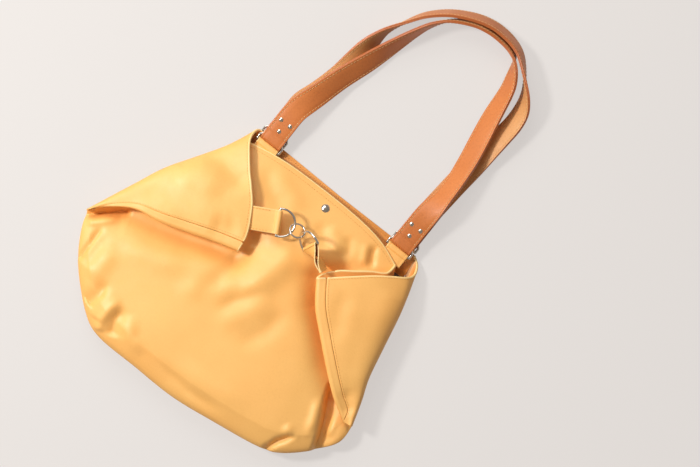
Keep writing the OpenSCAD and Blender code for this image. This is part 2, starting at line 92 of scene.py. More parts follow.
# Rims of the wings at the mouth, from the tip over the side to the resting face
LEFT_RIM = [
    (-30, 32, 45), (-31, 41, 45), (-33, 52, 45), (-37, 62, 45), (-43, 73, 44.5), (-53, 89, 43),
    (-67, 104, 40), (-80, 117, 36.5), (-93, 132, 31.5), (-102, 143, 26.5), (-107, 152, 20),
    (-108, 161, 12), (-104, 166, 5), (-94, 166, 1.2)]
RIGHT_RIM = [
    (69, 66, 45), (75, 71, 45), (82, 77, 44.8), (100, 93, 43), (121, 111, 38.5), (140, 125, 33),
    (155, 135, 27), (161, 141, 20), (162, 148, 13), (157, 157, 5.5), (147, 164, 1.2)]
# Rims of the wings' inner layers, from the corner of the mouth back to the tip
RIGHT_INNER_RIM = [
    (135, 139, 16), (138.6, 136, 17.5), (138, 131, 21), (130, 123, 26), (111, 111, 32.5),
    (94, 97, 37), (79, 86, 39), (72, 75, 40)]
LEFT_INNER_RIM = [
    (-103, 145, 15), (-105.5, 143, 16), (-104, 140, 17), (-92, 126, 20), (-72, 105, 24),
    (-55, 82, 29), (-43, 58, 36), (-37, 40, 40)]
MIDDLE = np.array([10.0, 10.0, 0.0])
# from a side fold in to where the leather lies on the floor
SIDE_ROUND = 13.0
# rise of the front over a straight line from its seam to its rim
BELLY = 12.0
# width of the front's strip that is sewn on top of a wing's seam edge
STRIP = 12.5
# where across they are fullest, and how high: the wing in heights of its side fold, the base
# as a share of its seam's rise over its fold
WING_FULL, WING_TOP = 0.93, 1.85
BASE_FULL, BASE_TOP = 0.86, 0.42
# the wing half-way there: where, share of the rise, and swell and lean to the mouth
WING_MIDDLE, WING_RISE, WING_SWELL, WING_LEAN = 0.45, 0.42, 6.0, 7.0


def spline(a, b, c, d, t):
    """The point at t between b and c on the smooth curve through four points."""
    return 0.5 * (2 * b + (c - a) * t + (2 * a - 5 * b + 4 * c - d) * t * t
                  + (3 * b - a - 3 * c + d) * t ** 3)


def span_at(f, count):
    """For fractions f of a curve through count points: the span, and the place in it."""
    s = np.clip(f, 0, 1) * (count - 1)
    i = np.minimum(s.astype(int), count - 2)
    return i, (s - i)[..., None]


def on_curve(points, f):
    """Points on the smooth curve through the given points, at fractions f of its spans."""
    p = np.asarray(points, float)
    i, t = span_at(f, len(p))
    return spline(p[np.maximum(i - 1, 0)], p[i], p[i + 1], p[np.minimum(i + 2, len(p) - 1)], t)


def on_curves(controls, v):
    """As on_curve, but each point of v has a curve of its own through the control arrays."""
    p = np.stack(controls)
    i, t = span_at(v, len(p))

    def pick(k):
        k = np.clip(k, 0, len(p) - 1)[None, ..., None]
        return np.take_along_axis(p, np.broadcast_to(k, (1,) + p.shape[1:]), 0)[0]

    return spline(pick(i - 1), pick(i), pick(i + 1), pick(i + 2), t)


def unit(v):
    return v / np.maximum(np.linalg.norm(v, axis=-1, keepdims=True), 1e-9)


def smooth(x, low, high):
    """Smooth step from 0 at low to 1 at high."""
    t = np.clip((x - low) / (high - low), 0, 1)
    return t * t * (3 - 2 * t)


def mix(a, b, t):
    return a + (b - a) * t


def run_of(curve):
    """The length along a curve up to each of its points."""
    return np.r_[0, np.cumsum(np.linalg.norm(np.diff(curve, axis=0), axis=1))]


def at_lengths(at, run, values):
    """Values given at the lengths run, read off at other lengths."""
    return np.stack([np.interp(at, run, column) for column in values.T], axis=1)


def cut(curve, start, end, count):
    """The stretch of a curve between two lengths along it, as count points."""
    run = run_of(curve)
    return at_lengths(np.linspace(start, run[-1] if end is None else end, count), run, curve)


def resample(points, count):
    """The curve through the points as count points at equal steps along it."""
    dense = on_curve(points, np.linspace(0, 1, 40 * len(points)))
    return cut(dense, 0, None, count)


def circle(count, radius=1.0):
    angles = np.linspace(0, 2 * math.pi, count + 1)[:-1]
    return [(radius * math.cos(a), radius * math.sin(a)) for a in angles]


# ---- Folds ----
class Fold:
    """A ridge or valley along a line in X and Y. Its height fades over width on the line's
    left and over right on its other side, and towards its ends; it may be one height or one
    for each point."""

    BLEND = 3.0  # the two widths blend this far to each side of the line

    def __init__(self, height, width, line, right=None, ends=(0.35, 0.35)):
        self.line, self.ends = np.asarray(line, float), ends
        self.left, self.right = width, right or width
        self.height = np.broadcast_to(np.asarray(height, float), len(line))

    def at(self, x, y):
        steps = np.linalg.norm(np.diff(self.line, axis=0), axis=1)
        run = np.r_[0, np.cumsum(steps)] / steps.sum()
        best = np.full(x.shape, 1e9)
        along, side, high = np.zeros((3, *x.shape))
        for k in range(len(steps)):
            a, b = self.line[k], self.line[k + 1]
            d = b - a
            t = np.clip(((x - a[0]) * d[0] + (y - a[1]) * d[1]) / (d @ d), 0, 1)
            ox, oy = x - a[0] - t * d[0], y - a[1] - t * d[1]
            gap = np.hypot(ox, oy)
            near = gap < best
            best = np.where(near, gap, best)
            along = np.where(near, mix(run[k], run[k + 1], t), along)
            high = np.where(near, mix(self.height[k], self.height[k + 1], t), high)
            side = np.where(near, (d[0] * oy - d[1] * ox) / np.linalg.norm(d), side)
        width = mix(self.right, self.left, smooth(side, -self.BLEND, self.BLEND))
        fade = smooth(along, 0, self.ends[0]) if self.ends[0] else 1.0
        fade = fade * (smooth(1 - along, 0, self.ends[1]) if self.ends[1] else 1.0)
        return high * fade * np.exp(-(best / width) ** 2)


def relief(grid, folds, lowest=6.0):
    """The grid raised and sunk by the folds, which sink nothing below the lowest height."""
    out = grid.copy()
    z = grid[..., 2] + sum(f.at(grid[..., 0], grid[..., 1]) for f in folds)
    out[..., 2] = np.maximum(z, np.minimum(grid[..., 2], lowest))
    return out


def normals(grid):
    """Unit normals of a grid, to the side from which its rows run up and its columns right."""
    down = np.gradient(grid, axis=0)
    over = np.gradient(grid, axis=1)
    return unit(np.cross(over, down))


# The front and the base sink under both wings' edges
WING_DIPS = [
    Fold((-3, -10, -17, -20, -20, -17, -12, -7), 18, [(-50, 84), (-26, 52), (-32, 24), (-58, 16),
         (-94, 3), (-128, -8), (-162, -18), (-190, -36)], right=20, ends=(0.05, 0.1)),
    Fold((-3, -10, -16, -19, -18, -15, -10, -6), 24, [(112, 112), (90, 88), (72, 68), (94, 43),
         (117, 22), (150, -8), (181, -32), (198, -44)], right=18, ends=(0, 0)),
]
FRONT_FOLDS = WING_DIPS + [
    # soft ridge down the middle and the slack diagonals beside it
    Fold((5.0, 6.5, 6.0, 4.0), 18, [(26, 84), (22, 52), (15, 16), (6, -24)], right=14,
         ends=(0.2, 0.35)),
    Fold(-4.5, 12, [(-6, 64), (-20, 26), (-26, -14), (-42, -48)]),
    Fold(2.4, 13, [(2, 14), (-26, -22), (-62, -58)]),
    Fold(-2.4, 9, [(32, 18), (10, -14), (-8, -46)]),
    Fold(2.2, 13, [(48, 18), (28, -20), (4, -62)]),
    Fold(-2.4, 12, [(66, 20), (60, -26), (40, -66)]),
    Fold(2.0, 14, [(-60, -20), (-100, -40), (-150, -52)]),
    Fold(-2.2, 12, [(-50, 0), (-100, -18), (-150, -34)]),
    # folds at the mouth
    Fold(-3.6, 4.5, [(99, 147), (105, 134), (116, 116)], right=8),
    Fold(2.4, 6, [(90, 142), (97, 128), (106, 112)]),
    Fold(-2.0, 7, [(64, 134), (76, 122), (82, 104)]),
    Fold(1.8, 10, [(-62, 140), (-24, 130), (6, 120)]),
    Fold(-2.4, 10, [(-74, 132), (-40, 112), (-8, 104)]),
    Fold(-1.8, 9, [(24, 124), (44, 110), (58, 98)]),
    Fold(1.8, 8, [(38, 128), (58, 118), (74, 106)]),
]
# The pleats of the boxed corners, on the front and on the base alike
CORNER_FOLDS = [
    Fold((-6, -17, -20, -17, -11), 14, [(164, -20), (173, -43), (185, -64), (194, -83),
         (202, -106)], right=4, ends=(0.1, 0)),
    Fold(3.5, 6, [(162, -44), (174, -70), (184, -98)]),
    Fold((2, 4, 3), 5, [(192, -48), (199, -66), (205, -84)]),
    Fold(-7, 4.5, [(174, -102), (165, -110), (157, -123), (152, -138)], ends=(0.3, 0)),
    Fold(3, 6, [(150, -98), (160, -104), (176, -112)]),
    # pleat at the end of the left wing, with the lip below it
    Fold((-8, -15, -17, -14, -8), 5.5, [(-164, -12), (-176, -23), (-184, -31), (-196, -42),
         (-206, -52)], ends=(0.15, 0)),
    Fold((2, 3.5, 3), 5, [(-168, -30), (-184, -44), (-200, -60)], ends=(0.3, 0.2)),
    # sharp crease and facets of the lower left corner
    Fold(-3.0, 3.2, [(-178, -48), (-179, -60), (-178, -80), (-177, -102)], right=5,
         ends=(0.25, 0.1)),
    Fold(-2.5, 9, [(-170, -50), (-168, -76), (-168, -104)], right=12, ends=(0.35, 0.2)),
    Fold(2.6, 12, [(-152, -60), (-150, -92), (-146, -112)]),
    Fold(-4.5, 6, [(-133, -96), (-129, -118), (-134, -138)], right=11, ends=(0.4, 0.1)),
    Fold(2.2, 10, [(-118, -100), (-116, -124), (-114, -146)], ends=(0.4, 0.1)),
    Fold(3.2, 6, [(-104, -104), (-108, -124), (-108, -139), (-103, -156)], ends=(0.3, 0.1)),
    Fold(-4.0, 9, [(-94, -108), (-94, -130), (-86, -152)], right=6, ends=(0.35, 0.2)),
    Fold(2.5, 8, [(-86, -112), (-66, -136), (-38, -144)]),
    Fold(-2.5, 8, [(-30, -136), (30, -142), (90, -137)]),
    Fold(1.6, 12, [(-10, -118), (50, -120), (110, -110)]),
]
LEFT_WING_FOLDS = [
    Fold((-6, -7, -7, -5.5, -3), 20, [(-166, 72), (-140, 102), (-114, 107), (-86, 104),
         (-62, 94)], right=14, ends=(0.1, 0.2)),
    Fold(3.0, 16, [(-156, 56), (-122, 72), (-84, 78)]),
    Fold(-2.5, 14, [(-80, 36), (-58, 44), (-44, 60)]),
    Fold(-2, 16, [(-186, 4), (-140, 26), (-90, 44)]),
    Fold(1.6, 14, [(-176, -6), (-140, 10), (-100, 26)]),
]
RIGHT_WING_FOLDS = [
    Fold((2, 3, 3, 3, 2), 18, [(150, 116), (163, 84), (176, 44), (189, 6), (200, -22)],
         ends=(0.1, 0.2)),
    Fold(-2.0, 12, [(104, 84), (118, 48), (140, 16)]),
    Fold(-2.5, 9, [(180, -18), (196, -32), (210, -42)]),
]


# ---- Surfaces ----
def front_point(u, v):
    """Front leather: u from its left fold to its right one, v from the base seam up."""
    u, v = np.broadcast_arrays(u, v)
    p = mix(on_curve(BASE_SEAM, u), on_curve(FRONT_RIM, u), v[..., None])
    p[..., 2] += BELLY * np.sin(np.pi * v) ** 0.8 * (1 - (2 * u - 1) ** 2)
    return p


def base_point(u, v):
    """v runs from the base seam over the widest line to the floor."""
    u, v = np.broadcast_arrays(u, v)
    a, b = on_curve(BASE_SEAM, u), on_curve(BASE_FOLD, u)
    full = mix(a, b, BASE_FULL)
    full[..., 2] += (a[..., 2] - b[..., 2]) * BASE_TOP
    return on_curves((a, full, b, inset(b, SIDE_ROUND, LEATHER / 2)), v)


def inset(p, d, z):
    """p moved in towards the middle of the bag by d and set to height z."""
    flat = p * [1, 1, 0]
    q = flat + unit(MIDDLE - flat) * d
    q[..., 2] = z
    return q


def wing_point(seam, fold, rim, u, v):
    """Outer layer of a wing: u from the mouth down, v from the seam edge to the floor."""
    u, v = np.broadcast_arrays(u, v)

    def across(u, v):
        a, b = on_curve(seam, u), on_curve(fold, u)
        top = b[..., 2] * WING_TOP
        bow = np.zeros_like(a)
        bow[..., 1] = WING_LEAN * (1 - u) ** 2
        middle = mix(a, b, WING_MIDDLE) + bow
        swell = WING_SWELL * np.sin(np.pi * np.minimum(1, u + 0.25))
        middle[..., 2] = mix(a[..., 2], top, WING_RISE) + swell
        full = mix(a, b, WING_FULL) + bow * 0.2
        full[..., 2] = top
        return on_curves((a, middle, full, b, inset(b, SIDE_ROUND, LEATHER / 2)), v)

    # near the mouth the surface follows the rim that the photograph shows
    shift = on_curve(rim, v[:1]) - across(u[:1] * 0, v[:1])
    return across(u, v) + shift * ((1 - u) ** 4)[..., None]


# ---- Meshes ----
def add_object(name, data):
    obj = bpy.data.objects.new(name, data)
    scene.collection.objects.link(obj)
    return obj


def place(piece, body, slot, *nodes):
    """Says which body a piece rides on and the solids it replaces; its slot is not used."""
    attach(piece, body)
    if nodes:
        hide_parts(*nodes)
    return piece


def mesh_object(name, verts, faces, materials, slots=None):
    mesh = bpy.data.meshes.new(name)
    mesh.from_pydata((verts * MM).tolist(), [], faces)
    for m in materials:
        mesh.materials.append(m)
    if slots is not None:
        mesh.polygons.foreach_set("material_index", slots)
    mesh.polygons.foreach_set("use_smooth", [True] * len(mesh.polygons))
    work = bmesh.new()
    work.from_mesh(mesh)
    bmesh.ops.recalc_face_normals(work, faces=work.faces)
    work.to_mesh(mesh)
    work.free()
    mesh.update()
    return add_object(name, mesh)


def quads(rows, cols, start=0, wrap=0):
    """Faces between a grid's points; with wrap at 1, its last column joins its first."""
    i, j = np.meshgrid(np.arange(rows - 1), np.arange(cols - 1 + wrap), indexing="ij")
    a, b = start + i * cols + j, start + i * cols + (j + 1) % cols
    return np.stack([a, b, b + cols, a + cols], axis=-1).reshape(-1, 4)


def tube_faces(rings, sides, start=0):
    """The walls of a closed tube, ring by ring, and then its two ends."""
    last = start + (rings - 1) * sides
    ends = [list(range(start, start + sides))[::-1], list(range(last, last + sides))]
    return quads(rings, sides, start, 1).tolist() + ends


EDGE_STEPS = 4


def sheet_mesh(name, grid, thick, materials):
    """A closed sheet on both sides of the grid with a half-round edge. The materials are
    those of the upper side, the lower side and the edge."""
    rows, cols = grid.shape[:2]
    n = normals(grid)
    count = rows * cols
    ids = np.arange(count).reshape(rows, cols)
    rim = np.r_[ids[0, :-1], ids[:-1, -1], ids[-1, :0:-1], ids[:0:-1, 0]]
    ri, rj = np.divmod(rim, cols)
    edge = grid[ri, rj]
    tangent = unit(np.roll(edge, -1, axis=0) - np.roll(edge, 1, axis=0))
    out = unit(np.cross(tangent, n[ri, rj]))
    inward = grid[np.clip(ri, 1, rows - 2), np.clip(rj, 1, cols - 2)] - edge
    out *= np.where((out * inward).sum(axis=1) > 0, -1.0, 1.0)[:, None]
    verts = [(grid + n * side * thick / 2).reshape(-1, 3) for side in (1, -1)]
    loops = [rim]
    for k in range(1, EDGE_STEPS):
        a = math.pi / 2 - math.pi * k / EDGE_STEPS
        verts.append(edge + (n[ri, rj] * math.sin(a) + out * math.cos(a)) * thick / 2)
        loops.append(2 * count + (k - 1) * len(rim) + np.arange(len(rim)))
    loops.append(count + rim)
    cells = quads(rows, cols)
    faces = cells[:, [0, 3, 2, 1]].tolist() + (cells[:, [1, 2, 3, 0]] + count).tolist()
    slots = [0] * len(cells) + [1] * len(cells)
    for a, b in zip(loops[:-1], loops[1:]):
        an, bn = np.roll(a, -1), np.roll(b, -1)
        faces += np.stack([a, an, bn, b], axis=1).tolist()
        slots += [2] * len(a)
    return mesh_object(name, np.concatenate(verts), faces, materials, slots)


def band_mesh(name, places, sides, ups, section, materials, slots):
    """A closed band swept along stations; section holds its outline as (side, up) pairs."""
    sec = np.asarray(section, float)
    verts = (places[:, None] + sides[:, None] * sec[None, :, :1]
             + ups[:, None] * sec[None, :, 1:]).reshape(-1, 3)
    slots = slots * (len(places) - 1) + slots[:1] * 2
    return mesh_object(name, verts, tube_faces(len(places), len(sec)), materials, slots)


# Rings of one stitch: place from -1 to 1 along it, girth and lift in halves of the thread
STITCH = [(-1.0, 0.15, -0.55), (-0.8, 0.8, -0.15), (-0.3, 1.0, 0.1), (0.3, 1.0, 0.1),
          (0.8, 0.8, -0.15), (1.0, 0.15, -0.55)]
STITCH_SIDES = 6
STITCH_HALF = 0.37  # half the length of a stitch, in pitches


def stitch_row(name, points, ups, pitch, thread, material, body, sink=0.15):
    """Thread along the points: one short rounded bar for each stitch."""
    run = run_of(points)
    count = max(2, int(run[-1] / pitch))
    mids = (np.arange(count) + 0.5) * run[-1] / count
    half = run[-1] / count * STITCH_HALF
    up = unit(at_lengths(mids, run, ups))
    ahead = unit(at_lengths(mids + half, run, points) - at_lengths(mids - half, run, points))
    side = unit(np.cross(up, ahead))
    verts, faces = [], []
    for s, r, lift in STITCH:
        spot = at_lengths(mids + s * half, run, points)
        for c, d in circle(STITCH_SIDES):
            verts.append(spot + side * (c * r * thread / 2)
                         + up * ((d * r + lift) * thread / 2 + thread / 2 - sink))
    stack = np.stack(verts).reshape(len(STITCH), STITCH_SIDES, count, 3)
    for q in range(count):
        faces += tube_faces(len(STITCH), STITCH_SIDES, q * len(verts))
    obj = mesh_object(name, stack.transpose(2, 0, 1, 3).reshape(-1, 3), faces, [material])
    place(obj, body, "body_leather" if body == SHELL else "handle_leather")


# ---- Materials ----
def srgb(*rgb):
    """A colour given as 0 to 255, in linear light."""
    def lin(c):
        c /= 255
        return c / 12.92 if c <= 0.04045 else ((c + 0.055) / 1.055) ** 2.4
    return (*map(lin, rgb), 1.0)


class Shader:
    """A Principled material and short ways to add nodes to it."""

    def __init__(self, name, **constants):
        self.material = bpy.data.materials.new(name)
        self.material.use_nodes = True
        self.tree = self.material.node_tree
        self.bsdf = self.tree.nodes["Principled BSDF"]
        self.where = self.node("TexCoord").outputs["Object"]
        for key, value in constants.items():
            self.bsdf.inputs[key.replace("_", " ")].default_value = value

    def node(self, kind, links=(), values=(), **settings):
        """A new node, with the sources of some inputs and the plain values of others."""
        n = self.tree.nodes.new("ShaderNode" + kind)
        for key, value in settings.items():
            setattr(n, key, value)
        for socket, value in dict(values).items():
            n.inputs[socket].default_value = value
        for socket, source in dict(links).items():
            self.tree.links.new(source, n.inputs[socket])
        return n

    def feed(self, socket, source):
        self.tree.links.new(source, self.bsdf.inputs[socket])

    def texture(self, kind, values, **settings):
        return self.node("Tex" + kind, {"Vector": self.where}, values,
                         **settings).outputs

    def noise(self, scale, detail, rough=0.55, distort=0.0):
        return self.texture("Noise", {"Scale": scale, "Detail": detail, "Roughness": rough,
                                      "Distortion": distort})[0]

    def wave(self, direction, scale, distort=0.0):
        return self.texture("Wave", {"Scale": scale, "Distortion": distort},
                            bands_direction=direction)[1]

    def ramp(self, source, low, high, a=0.0, b=1.0):
        """The source with its range from low to high spread over a to b."""
        return self.node("MapRange", {"Value": source},
                         {"From Min": low, "From Max": high, "To Min": a,
                          "To Max": b}).outputs[0]

    def blend(self, factor, a, b):
        """Colour a mixed with b; inputs 6 and 7 are the colours of a node of this type."""
        n = self.node("Mix", data_type="RGBA")
        for index, value in ((0, factor), (6, a), (7, b)):
            if isinstance(value, (tuple, float, int)):
                n.inputs[index].default_value = value
            else:
                self.tree.links.new(value, n.inputs[index])
        return n.outputs[2]

    def combine(self, operation, a, b):
        return self.node("Math", {0: a, 1: b}, operation=operation).outputs[0]

    def bump(self, source, depth, strength=1.0, after=None):
        """Relief of a depth in metres, on top of an earlier bump if there is one."""
        links = {"Height": source, "Normal": after} if after else {"Height": source}
        n = self.node("Bump", links, {"Strength": strength, "Distance": depth})
        self.feed("Normal", n.outputs[0])
        return n.outputs[0]


def leather_material(name, light, mid, dark, rough=(0.52, 0.66), grain=780.0, depth=0.0001,
                     wrinkle=0.0001, scuff=0.14, shine=1.0):
    """Clouded, scuffed leather, with painted shade darkening its creases, and paler on its edges.
    Its grain has cells per metre, of a depth in metres, over a coarser wrinkle."""
    light, mid, dark = srgb(*light), srgb(*mid), srgb(*dark)
    s = Shader(name, IOR=1.5, Specular_IOR_Level=shine)
    cloud = s.noise(9, detail=3, rough=0.5, distort=0.2)
    fine = s.noise(420, detail=4, rough=0.6)
    tone = s.blend(s.ramp(cloud, 0.3, 0.7), mid, light)
    tone = s.blend(s.ramp(fine, 0.45, 0.8, 0, scuff), tone, dark)
    point = s.node("NewGeometry").outputs["Pointiness"]
    # painted shade: where pointiness is low, in creases and hollows, the tone darkens towards
    # dark
    tone = s.blend(s.ramp(point, 0.5, 0.42, 0, 0.5), tone, dark)
    tone = s.blend(s.ramp(point, 0.53, 0.62, 0, 0.45), tone, light)
    s.feed("Base Color", tone)
    s.feed("Roughness", s.ramp(s.noise(60, detail=4), 0.3, 0.7, *rough))
    first = s.bump(s.noise(34, detail=5, rough=0.62, distort=0.6), wrinkle)
    cells = s.texture("Voronoi", {"Scale": grain})["Distance"]
    s.bump(cells, depth, strength=0.6, after=first)
    return s.material


body_leather = leather_material("body_leather", (253, 194, 107), (249, 183, 95), (212, 143, 54))
# painted highlight: body leather lightened to its lit colour, for the light caught by rolled
# rims, facing edges and tab edges
painted_highlight_edge = leather_material("painted_highlight_edge", (255, 224, 156), (255, 214, 140), (240, 176, 96))
# darker, more orange leather: partly the facings' own colour, partly painted shade for the
# mouth's gap where it shows
facing_leather_and_shade = leather_material("facing_leather_and_shade", (240, 164, 78), (230, 148, 62),
                                  (200, 114, 38))
flesh_side = leather_material("flesh_side", (214, 160, 104), (196, 140, 86), (160, 104, 56),
                              rough=(0.7, 0.85), grain=420.0, depth=0.0002)
handle_leather = leather_material("handle_leather", (218, 134, 74), (200, 114, 56),
                                  (152, 78, 36), rough=(0.4, 0.54), grain=620.0,
                                  depth=0.00012, wrinkle=0.0002, scuff=0.3, shine=0.45)
backing_leather = leather_material("backing_leather", (222, 160, 96), (204, 138, 76),
                                   (160, 98, 46), rough=(0.55, 0.75), grain=520.0,
                                   depth=0.00014, wrinkle=0.0002, scuff=0.3)
edge_paint = leather_material("edge_paint", (196, 108, 46), (178, 90, 34), (130, 60, 20),
                              rough=(0.3, 0.42), grain=900.0, depth=0.00005)


def thread_material(name, light, shade):
    s = Shader(name, IOR=1.5, Roughness=0.6)
    twist = s.wave("DIAGONAL", 1400)
    s.feed("Base Color", s.blend(s.ramp(twist, 0.2, 0.9), srgb(*shade), srgb(*light)))
    s.bump(twist, 0.00008)
    return s.material


pale_thread = thread_material("pale_thread", (250, 218, 164), (214, 160, 96))
body_thread = thread_material("body_thread", (240, 178, 92), (196, 128, 52))


def cloth_material(name, light, dark):
    """Plain weave of two crossed waves."""
    s = Shader(name, IOR=1.4, Roughness=0.9)
    weave = s.combine("MULTIPLY", s.wave("X", 520, 0.8), s.wave("Y", 520, 0.8))
    tone = s.blend(s.ramp(s.noise(40, detail=5), 0.3, 0.7), srgb(*dark), srgb(*light))
    s.feed("Base Color", s.blend(s.ramp(weave, 0.0, 0.6, 0, 0.5), tone, srgb(*dark)))
    s.bump(weave, 0.00025)
    return s.material


lining_cloth = cloth_material("lining_cloth", (150, 138, 128), (96, 84, 76))


def metal_material(name, colour, rough):
    """Polished metal, a little duller and darker where it is smudged."""
    s = Shader(name, Metallic=1.0)
    bright = srgb(*colour)
    dull = (*(c * 0.8 for c in bright[:3]), 1.0)
    smudge = s.noise(90, detail=5, rough=0.6)
    s.feed("Base Color", s.blend(s.ramp(smudge, 0.35, 0.75), bright, dull))
    s.feed("Roughness", s.ramp(smudge, 0.3, 0.8, rough, rough + 0.14))
    s.bump(s.noise(420, detail=3), 0.00003)
    return s.material


ring_metal = metal_material("ring_metal", (226, 222, 214), 0.12)
rivet_metal = metal_material("rivet_metal", (222, 218, 208), 0.16)

# ---- Body ----
# Every grid has its rows running to the mouth and its columns to the right, so that its
# normals point out of the bag
SHELL = "bag_shell"
LEATHER_SIDES = [body_leather, flesh_side, body_leather]
# rows of the grids up to the mouth; columns of the front, of its turn under a wing and of a
# wing, which is first drawn with the dense count; columns and rows of the base
ROWS = 150
FRONT_COLS, SIDE_COLS, WING_COLS = 260, 74, 130
DENSE_COLS = 260
BASE_COLS, BASE_ROWS = 380, 56
# half the depth of the front's turn round a wing's seam edge, and how far the strip on top
# and the wing each stay from the line where they meet
SEAM_FOLD = 2.4
SEAM_GAP = 1.05
# share of a wing's length over which the strip widens from nothing at the base
STRIP_TAPER = 0.14
# the front under a wing, from its fold to the wing's edge: share of the way, rise over it
UNDER_WING = ((0.25, 1.2), (0.55, 1.5), (0.8, 0.8))


def wing_rows(seam, fold, rim, folds, mirror):
    """The wing's outer surface, one dense curve from its seam edge to the floor per row."""
    u = np.linspace(1, 0, ROWS)[:, None]
    v = np.linspace(0, 1, DENSE_COLS)[None, :]
    g = wing_point(seam, fold, rim, u, v)
    return relief(g[:, ::-1], folds)[:, ::-1] if mirror else relief(g, folds)


def strip_width(v):
    return STRIP * smooth(v, 0.0, STRIP_TAPER)


def wing_surface(rows, mirror):
    """The part of the wing beyond the strip along its seam."""
    starts = strip_width(np.linspace(0, 1, ROWS)) + SEAM_GAP
    g = np.stack([cut(row, start, None, WING_COLS) for row, start in zip(rows, starts)])
    return g[:, ::-1] if mirror else g


def under_wing(rows, fold_u, inner_rim, sign):
    """The front leather from its own fold back under the wing, round the seam's fold and
    over the strip on top."""
    v = np.linspace(0, 1, ROWS)
    strips = strip_width(v) - SEAM_GAP
    up = np.array([0, 0, 1.0])
    rim = resample(inner_rim, 6)
    out = []
    for row, a, strip, w in zip(rows, front_point(np.full(ROWS, fold_u), v), strips,
                                smooth(v, 0.5, 1.0)):
        edge = row[0]
        inward = unit((cut(row, 0, 12, 3)[2] - edge) * [1, 1, 0])
        under = edge - up * 2 * SEAM_FOLD
        p = [a, a + [sign * 2.2, 0, 2.4]]
        p += [mix(a, under, share) + up * rise for share, rise in UNDER_WING]
        p += [under + inward * 3.5]
        # towards the mouth these six points turn into the rim that is seen there
        p = [mix(q, r, w) for q, r in zip(p, rim)]
        p += [edge - up * SEAM_FOLD, *cut(row, 0, max(strip, 1.0), 5)[1:]]
        out.append(resample(p, SIDE_COLS))
    return np.stack(out)


def front_surface(left_rows, right_rows):
    """The whole front leather: its middle, and its turns under both wings."""
    v = np.linspace(0, 1, ROWS)[:, None]
    u = np.linspace(0, 1, FRONT_COLS)[None, :]
    middle = relief(front_point(u, v), FRONT_FOLDS + CORNER_FOLDS)
    left = under_wing(left_rows, 0.0, LEFT_INNER_RIM, -1)
    right = under_wing(right_rows, 1.0, RIGHT_INNER_RIM, 1)
    fade = np.linspace(1, 0, SIDE_COLS)[None, :, None] ** 4
    left = left + (middle[:, :1] - left[:, :1]) * fade
    right = right + (middle[:, -1:] - right[:, :1]) * fade
    return np.concatenate([left[:, :0:-1], middle, right[:, 1:]], axis=1)


left_rows = wing_rows(LEFT_SEAM, LEFT_FOLD, LEFT_RIM, LEFT_WING_FOLDS, True)
right_rows = wing_rows(RIGHT_SEAM, RIGHT_FOLD, RIGHT_RIM, RIGHT_WING_FOLDS, False)
left_wing = wing_surface(left_rows, True)
right_wing = wing_surface(right_rows, False)
front = front_surface(left_rows, right_rows)
base = relief(base_point(np.linspace(0, 1, BASE_COLS)[None, :],
                         np.linspace(1, 0, BASE_ROWS)[:, None]), CORNER_FOLDS + WING_DIPS)


def shell_piece(name, grid, thick, sides, *nodes, slot="body_leather"):
    return place(sheet_mesh(name, grid, thick, sides), SHELL, slot, *nodes)


for name, grid, *nodes in (
        ("front_leather", front, "front_panel", "left_wing_inner", "right_wing_inner"),
        ("base_leather", base, "base_panel"),
        ("left_wing_leather", left_wing, "left_wing_outer"),
        ("right_wing_leather", right_wing, "right_wing_outer")):
    shell_piece(name, grid, LEATHER, LEATHER_SIDES, *nodes)

# ---- Facings and lining ----
FACING_DEPTH = 31.0
FACING_ROWS, LINING_ROWS = 16, 56
FACING_SIDES = [flesh_side, facing_leather_and_shade, painted_highlight_edge]
CLOTH_SIDES = [lining_cloth] * 3


def behind(grid, thick, gap=0.05):
    """The grid moved to the inside, to lie behind the leather."""
    return grid - normals(grid) * ((LEATHER + thick) / 2 + gap)


def from_mouth(grid, start, stop, count):
    """The grid between a length from the mouth and another, or one from its far end."""
    out = []
    for column in grid.transpose(1, 0, 2)[:, ::-1]:
        end = stop if stop > 0 else run_of(column)[-1] + stop
        out.append(cut(column, start, end, count)[::-1])
    return np.stack(out, axis=1)


def facing_piece(name, grid, *nodes):
    grid = behind(from_mouth(grid, 0, FACING_DEPTH, FACING_ROWS), FACING)
    shell_piece(name, grid, FACING, FACING_SIDES, *nodes)


def lining_sheet(name, grid, stop, leather, *nodes):
    """Lining cloth against the inside of a leather piece, from below its facing to stop."""
    grid = behind(from_mouth(grid, FACING_DEPTH + 1, stop, LINING_ROWS), LINING, 0.2)
    piece = shell_piece(name, grid, LINING, CLOTH_SIDES, *nodes, slot="lining_cloth")


facing_piece("front_facing_leather", front, "front_facing")
lining_sheet("front_lining_cloth", front[:, 14:-14:2], -12, "front_leather", "front_lining")
# a wing's facing and lining end a few columns before the floor
for side, grid in (("left", left_wing[:, 6:]), ("right", right_wing[:, :-6])):
    facing_piece(side + "_wing_facing", grid)
    lining_sheet(side + "_wing_lining", grid[:, ::2], -6, side + "_wing_leather")

RIM_SIDES, RIM_RADIUS = 12, 1.7


def rim_edge(name, grid):
    """The rounded edge that leather and facing share along the mouth, in leather with a painted
    highlight.
    """
    line, n = grid[-1], normals(grid)[-1]
    ahead = unit(np.gradient(line, axis=0))
    out = unit(np.cross(ahead, n))
    out *= np.sign((out * (grid[-1] - grid[-3])).sum(axis=1, keepdims=True))
    places = line - n * FACING / 2 + out * 0.2
    piece = band_mesh(name, places, out, n, circle(RIM_SIDES, RIM_RADIUS), [painted_highlight_edge],
                      [0] * RIM_SIDES)
    place(piece, SHELL, "body_leather")


rim_edge("front_rim_edge", front)
rim_edge("left_wing_rim_edge", left_wing)
rim_edge("right_wing_rim_edge", right_wing)

# ---- Back ----
BACK_RIM_Y = 166.0
BACK_FACING_Y = 134.0  # lower edge of the facing


